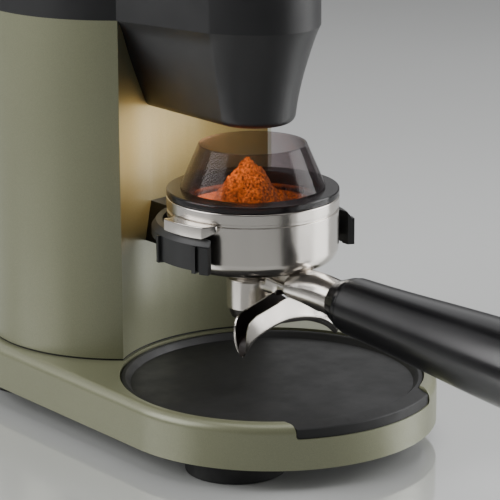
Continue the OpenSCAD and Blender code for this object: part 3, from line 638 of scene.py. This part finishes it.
# The spout's channel bent over an arch, from its left tip to its right one.
# Each station gives its floor's x and z, its rim's x and z, and half its width.
SPOUT_STATIONS = (
    (-22.9, 8.4, -23.1, 8.5, 0.9), (-22.9, 9.6, -23.7, 10.0, 2.4), (-22.6, 11.2, -24.0, 12.2, 3.7),
    (-21.7, 13.4, -24.1, 15.4, 4.7), (-19.3, 15.9, -23.8, 20.3, 5.3), (-15.3, 17.9, -21.8, 24.1, 5.7),
    (-11.0, 19.4, -16.6, 26.4, 5.9), (-7.0, 20.2, -9.4, 28.6, 6.0), (-2.6, 20.6, -2.6, 30.3, 6.0),
    (3.0, 20.2, 4.4, 26.3, 6.0), (9.0, 19.1, 11.0, 22.9, 6.0), (14.5, 17.4, 17.0, 19.6, 5.7),
    (20.0, 14.0, 21.8, 15.6, 4.8), (23.6, 10.8, 24.6, 11.6, 3.0), (25.2, 8.8, 25.5, 9.0, 0.9),
)
SPOUT_FOOT = -67.7  # the stations' zero, from the rim
SPOUT_SAG = 5.5  # how far the back wall hangs in the middle
SPOUT_LEAN = 0.17  # how far the walls lean in at the rim, as a share of half the width
BENDS = (0.26, 0.52, 0.79, 1.05, 1.31, 1.57)  # angles round the channel's lower corners


def spout_row(half, corner, bend, tall):
    """The channel's cross-section as (across, up), down one wall, over the floor and up the other."""
    wall = [tall - (tall - bend) * k / 6 for k in range(7)]
    turn = [(half - corner * (1 - math.cos(a)), bend * (1 - math.sin(a))) for a in BENDS]
    left = [(-half, h) for h in wall] + [(-w, h) for w, h in turn]
    floor = [(half * k / 3 * (1 - corner / max(half, 0.01)), 0) for k in (-2, -1, 0, 1, 2)]
    return left + floor + turn[::-1] + [(half, h) for h in reversed(wall)]


def make_spout():
    """The double spout: its back wall sags in the middle, and both walls lean in."""
    bm = bmesh.new()
    grid = []
    for floor_x, floor_z, rim_x, rim_z, half in smooth_path(SPOUT_STATIONS, 8):
        corner = min(1.6, half * 0.4)
        tall = math.hypot(rim_x - floor_x, rim_z - floor_z)
        bend = min(corner, tall * 0.45)
        low = Vector((floor_x, SPOUT_Y, RIM_Z + SPOUT_FOOT + floor_z))
        up = Vector((rim_x - floor_x, 0, rim_z - floor_z)) / max(tall, 0.001)
        drop = SPOUT_SAG * max(0.0, 1 - (floor_x / 23) ** 2)
        line = []
        for w, h in spout_row(half, corner, bend, tall):
            share = h / max(tall, 0.1)
            sag = drop * max(0.0, w / half) ** 1.5 * max(0.0, 1 - share)
            lean = 1 - SPOUT_LEAN * share * min(1.0, half / 5)
            line.append(bm.verts.new(low + up * h + Vector((0, w * lean, -sag))))
        grid.append(line)
    for near, far in zip(grid, grid[1:]):
        for i in range(len(near) - 1):
            bm.faces.new((near[i], near[i + 1], far[i + 1], far[i]))
    bmesh.ops.recalc_face_normals(bm, faces=bm.faces)
    crown = Vector((-2.6, SPOUT_Y, RIM_Z + SPOUT_FOOT + 20))
    middle = min(bm.faces, key=lambda face: (face.calc_center_median() - crown).length)
    if middle.normal.z > 0:
        bmesh.ops.reverse_faces(bm, faces=bm.faces)
    sheet = as_object(bm)
    # The second material goes on the inner faces of the thickened sheet: painted shade inside the channel
    for name in (CHROME, "spout_inside_painted_shade"):
        sheet.data.materials.append(LOOKS[name])
    solid = sheet.modifiers.new("thickness", "SOLIDIFY")
    solid.thickness = 0.8
    solid.offset = -1
    solid.material_offset = 1
    soft = sheet.modifiers.new("soft", "BEVEL")
    soft.width = 0.25
    soft.segments = 2
    soft.angle_limit = math.radians(50)
    shape = evaluated(sheet)
    discard(sheet)
    piece = finished("spout_channel", shape, BODY, CHROME, ["double_spout"], sharp=50)
    piece.data.materials.append(LOOKS["spout_inside_painted_shade"])


def make_spout_collar():
    """Sleeve on the boss."""
    z = RIM_Z
    outline = [(8.1, z - 50.6), (9.2, z - 51, 0.4), (11, z - 46.8, 1.2), (11, z - 34.4, 0.8), (8.1, z - 34.2)]
    finished("spout_sleeve", lathe(rounded(outline, 5), DOCK_AXIS, 96), BODY, CHROME)


def make_handle():
    """The ferrule's ring, the swelling grip and its cap."""
    pin = 4.05
    ferrule_far = GRIP_NEAR - 0.15
    ferrule = rounded([
        (7.5, FERRULE_NEAR + 0.1), (8.3, FERRULE_NEAR, 0.4), (11.0, GRIP_NEAR - 2.2, 3), (11.2, ferrule_far, 0.4),
        (pin, ferrule_far), (pin, FERRULE_NEAR + 2.1), (7.5, FERRULE_NEAR + 2.1),
    ])
    far = along_handle(centre("handle_end_cap")) - 1.8
    radii = [bezier((11.6, 0), (12.6, 0), (17.4, 0), (16, 0), k / 40).x for k in range(41)]
    side = [(radius, GRIP_NEAR + (far - GRIP_NEAR) * k / 40) for k, radius in enumerate(radii)]
    side[0] = (side[0][0] - 0.5, side[0][1])
    side.insert(1, (side[1][0] - 0.12, side[0][1] + 0.5))
    side[-1] = (side[-1][0] - 0.25, side[-1][1])
    side.insert(-1, (side[-2][0], side[-1][1] - 0.3))
    bore_end = 121
    grip = [(pin, side[0][1])] + side + [(0, far), (0, bore_end), (pin, bore_end)]
    cap = rounded([(0, far), (15.55, far, 0.3), (15.55, far + 3.6, 3.3), (0, far + 3.6)], 8)
    for name, outline, look_name, node in (
        ("ferrule_ring", ferrule, "ferrule_lacquer", "handle_ferrule"),
        ("grip_body", grip, "grip_plastic", "handle_grip"),
        ("grip_cap", cap, "grip_plastic", "handle_end_cap"),
    ):
        finished(name, lathe(outline, HANDLE_AXIS), BODY, look_name, [node])


def make_funnel():
    """The smoked cone, and its flange that stands on the rim."""
    z = RIM_Z
    cone = rounded([
        (28.2, z + 3.3), (29.7, z + 3.3, 0.5), (22, z + 21.2, 0.45), (20.8, z + 21.2, 0.4), (27.2, z + 5.5, 2),
    ], 6)
    finished("funnel_cone", lathe(cone, DOCK_AXIS, 192), "funnel", "funnel_smoke", ["dosing_funnel"])
    flange = rounded([
        (27, z - 2, 0.3), (28.6, z - 2, 0.3), (28.6, z + 0.1, 0.3), (35.2, z + 0.1, 0.7), (35.2, z + 2.7, 0.9),
        (34.7, z + 3.1, 0.5), (27.4, z + 3.1, 0.4),
    ], 6)
    finished("funnel_flange", lathe(flange, DOCK_AXIS, 192), "funnel", "flange_smoke")


HEAP_R = 26.4  # radius of the coffee
BED_R = 27  # where its bed fades out
MOUND_HIGH, MOUND_R = 19.2, 16.0
SUNK = 4.4  # how far the bed lies under the rim
COFFEE_DEPTH = 9


def heap_height(x, y):
    """Height of the ground coffee over the basket's rim."""
    r = math.hypot(x, y)
    place = Vector((x, y, 0.0))
    wander = 2.2 * noise.noise(place * 0.13 + Vector((5.0, 1.0, 2.0)))
    away = math.hypot(x + 2.0, y - 0.5) + wander
    mound = MOUND_HIGH * max(0.0, 1 - away / MOUND_R) ** 0.95 + 0.8 * max(0.0, 1 - r / BED_R)
    rough = min(1.0, max(0.0, (BED_R - r) / 8))
    lumps = 1.6 * noise.fractal(place * 0.22 + Vector((3.1, 7.7, 0)), 1.0, 2.0, 4) * rough
    grains = 0.7 * noise.noise(place * 0.9) + 0.45 * noise.noise(place * 1.9) + 0.25 * noise.noise(place * 3.7)
    return mound + lumps + grains * (0.6 + 0.4 * min(1.0, mound / 4)) - SUNK


def make_coffee():
    """Heap of ground coffee in the basket."""
    bm = bmesh.new()
    rings = 90
    turns = 300
    top = [bm.verts.new((0, DOCK_Y, RIM_Z + heap_height(0, 0)))]
    rows = [top * turns]
    for i in range(1, rings + 1):
        r = HEAP_R * i / rings
        row = []
        for k in range(turns):
            a = 2 * math.pi * k / turns
            x, y = r * math.cos(a), r * math.sin(a)
            row.append(bm.verts.new((x, DOCK_Y + y, RIM_Z + heap_height(x, y))))
        rows.append(row)
    rows.append([bm.verts.new((v.co.x, v.co.y, RIM_Z - COFFEE_DEPTH)) for v in rows[-1]])
    for inner, outer in zip(rows, rows[1:]):
        bridge(bm, inner, outer)
    bm.faces.new(rows[-1])
    bmesh.ops.recalc_face_normals(bm, faces=bm.faces)
    finished("coffee_heap", bm, BODY, "ground_coffee", sharp=180)


# ---- All pieces ----
def make_pieces():
    """Rounded copies of CAD nodes, then the pieces with shapes of their own."""
    for name, node, body, look_name, width in (
        ("base_shell", "base_casting", "housing", "painted_shell", 0.35),
        ("column_wall", "column_shell", "housing", "painted_shell", 0.3),
        ("mat_pad", "drip_mat", "drip_mat", "mat_rubber", 0.45),
        ("feet_pads", "rubber_feet", "housing", "foot_rubber", 0.8),
        ("fork_bracket", "fork", "housing", "black_plastic", 0.5),
        ("ring_grip", "adjusting_ring", "adjuster", "black_plastic", 0.4),
        ("gasket_line", "column_gasket", "housing", "seal_rubber", 0.1),
        ("bezel_frame", "switch_bezel", "housing", "black_plastic", 0.3),
        ("rocker_cap", "rocker_switch", "rocker", "black_plastic", 0.3),
        ("gland_bush", "cord_gland", "housing", "foot_rubber", 0.3),
        ("button_cap", "dock_button", "dock_button", "black_plastic", 0.3),
    ):
        finished(name, from_cad(node, width), body, look_name, [node])
    make_head()
    make_shroud()
    make_hopper()
    make_lid()
    make_bowl()
    make_lug("lug_left", 180)
    make_lug("lug_right", 0)
    make_neck()
    make_spout()
    make_spout_collar()
    make_handle()
    make_funnel()
    make_coffee()


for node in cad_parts.values():
    for held in node.material_slots:
        held.material = LOOKS[held.material.name]
make_pieces()


# ---- Floor, light and camera ----
def make_floor():
    """A pale, half glossy floor."""
    bm = bmesh.new()
    bmesh.ops.create_grid(bm, x_segments=40, y_segments=40, size=6.0)
    bmesh.ops.translate(bm, verts=bm.verts, vec=(0, 2.0, 0))
    mesh = bpy.data.meshes.new("floor")
    bm.to_mesh(mesh)
    bm.free()
    floor = bpy.data.objects.new("floor", mesh)
    bpy.context.collection.objects.link(floor)
    look(
        "floor_lacquer", (0.7, 0.71, 0.7), (0.73, 0.74, 0.73), (0.06, 0.08), mottle=3.0, grain=30.0,
        bump=0.004, Metallic=0.25, IOR=1.7,
    )
    mesh.materials.append(LOOKS["floor_lacquer"])


def aimed(place, target):
    """Matrix at a place, in metres, that looks at a target."""
    away = Vector(place) - Vector(target)
    return Matrix.Translation(place) @ away.to_track_quat("Z", "Y").to_matrix().to_4x4()


def softbox(name, place, target, size, power, colour=(1, 1, 1)):
    """Rectangular soft light."""
    light = bpy.data.lights.new(name, "AREA")
    light.shape = "RECTANGLE"
    light.size, light.size_y = size
    light.energy = power
    light.color = colour
    lamp = bpy.data.objects.new(name, light)
    bpy.context.collection.objects.link(lamp)
    lamp.matrix_world = aimed(place, target)
    return lamp


MIDDLE = (0, 0.03, 0.08)  # what the soft boxes look at, in metres
SKY = ((0.0, 0.2), (0.14, 0.07), (0.37, 0.95), (0.9, 0.45))  # the backdrop's tone at heights over the horizon
BACKDROP = (0.619, 0.786, 0.0)  # the way to the backdrop's brightest side


def make_world():
    """A graded grey backdrop that is dark on the camera's side."""
    world = bpy.data.worlds.new("studio")
    bpy.context.scene.world = world
    world.use_nodes = True
    tree = world.node_tree
    sky = tree.nodes["Background"]
    way = add(tree, "ShaderNodeTexCoord").outputs["Generated"]
    rise = add(tree, "ShaderNodeSeparateXYZ", Vector=way).outputs["Z"]
    tone = ramp(tree, rise, [(position, (grey, grey, grey * 1.01)) for position, grey in SKY])
    ahead = add(tree, "ShaderNodeVectorMath", {"operation": "DOT_PRODUCT"})
    tree.links.new(way, ahead.inputs[0])
    ahead.inputs[1].default_value = BACKDROP
    side = remap(tree, ahead.outputs["Value"], 0.14, 1.0, -0.6, 0.7, "SMOOTHSTEP")
    tree.links.new(tone, sky.inputs["Color"])
    tree.links.new(side, sky.inputs["Strength"])


def make_light():
    """Soft boxes round the part, and two small warm lamps under the shroud."""
    make_world()
    softbox("left", (-1.0, 0.5, 0.7), MIDDLE, (0.9, 0.9), 11)
    softbox("right", (1.05, -0.5, 0.5), MIDDLE, (0.7, 0.9), 11)
    softbox("top", (0.1, 0.0, 1.3), MIDDLE, (1.1, 1.1), 6.5)
    softbox("front", (0.57, -0.82, 0.1), MIDDLE, (0.45, 0.2), 1.2)
    warm = (
        softbox("warm", (-0.008, 0.034, 0.1285), (-0.024, 0.075, 0.085), (0.012, 0.012), 0.075, (1.0, 0.62, 0.27)),
        softbox("spark", (-0.016, 0.008, 0.127), (0.0, 0.019, 0.108), (0.008, 0.008), 0.014, (1.0, 0.74, 0.4)),
    )
    for lamp in warm:
        lamp.visible_camera = False
        lamp.visible_glossy = False


CAMERA_ANGLES = (-38.208, 15.263, -0.287)  # azimuth, elevation and roll, in degrees
CAMERA_AIM = Vector((-0.6, 19.3, 76.0)) * MM
CAMERA_DISTANCE = 1.04
SENSOR = 36
LENS = 183.3


def make_camera():
    """Camera to the left of the front and a little above."""
    azimuth, elevation, roll = (math.radians(a) for a in CAMERA_ANGLES)
    level = math.cos(elevation)
    back = Vector((math.sin(azimuth) * level, -math.cos(azimuth) * level, math.sin(elevation)))
    right = Vector((math.cos(azimuth), math.sin(azimuth), 0))
    turned = right * math.cos(roll) + back.cross(right) * math.sin(roll)
    data = bpy.data.cameras.new("camera")
    data.sensor_width = SENSOR
    data.lens = LENS
    data.clip_start = 0.01
    camera = bpy.data.objects.new("camera", data)
    bpy.context.collection.objects.link(camera)
    turn = Matrix((turned, back.cross(turned), back)).transposed().to_4x4()
    camera.matrix_world = Matrix.Translation(CAMERA_AIM + back * CAMERA_DISTANCE) @ turn
    bpy.context.scene.camera = camera


make_floor()
make_light()
make_camera()
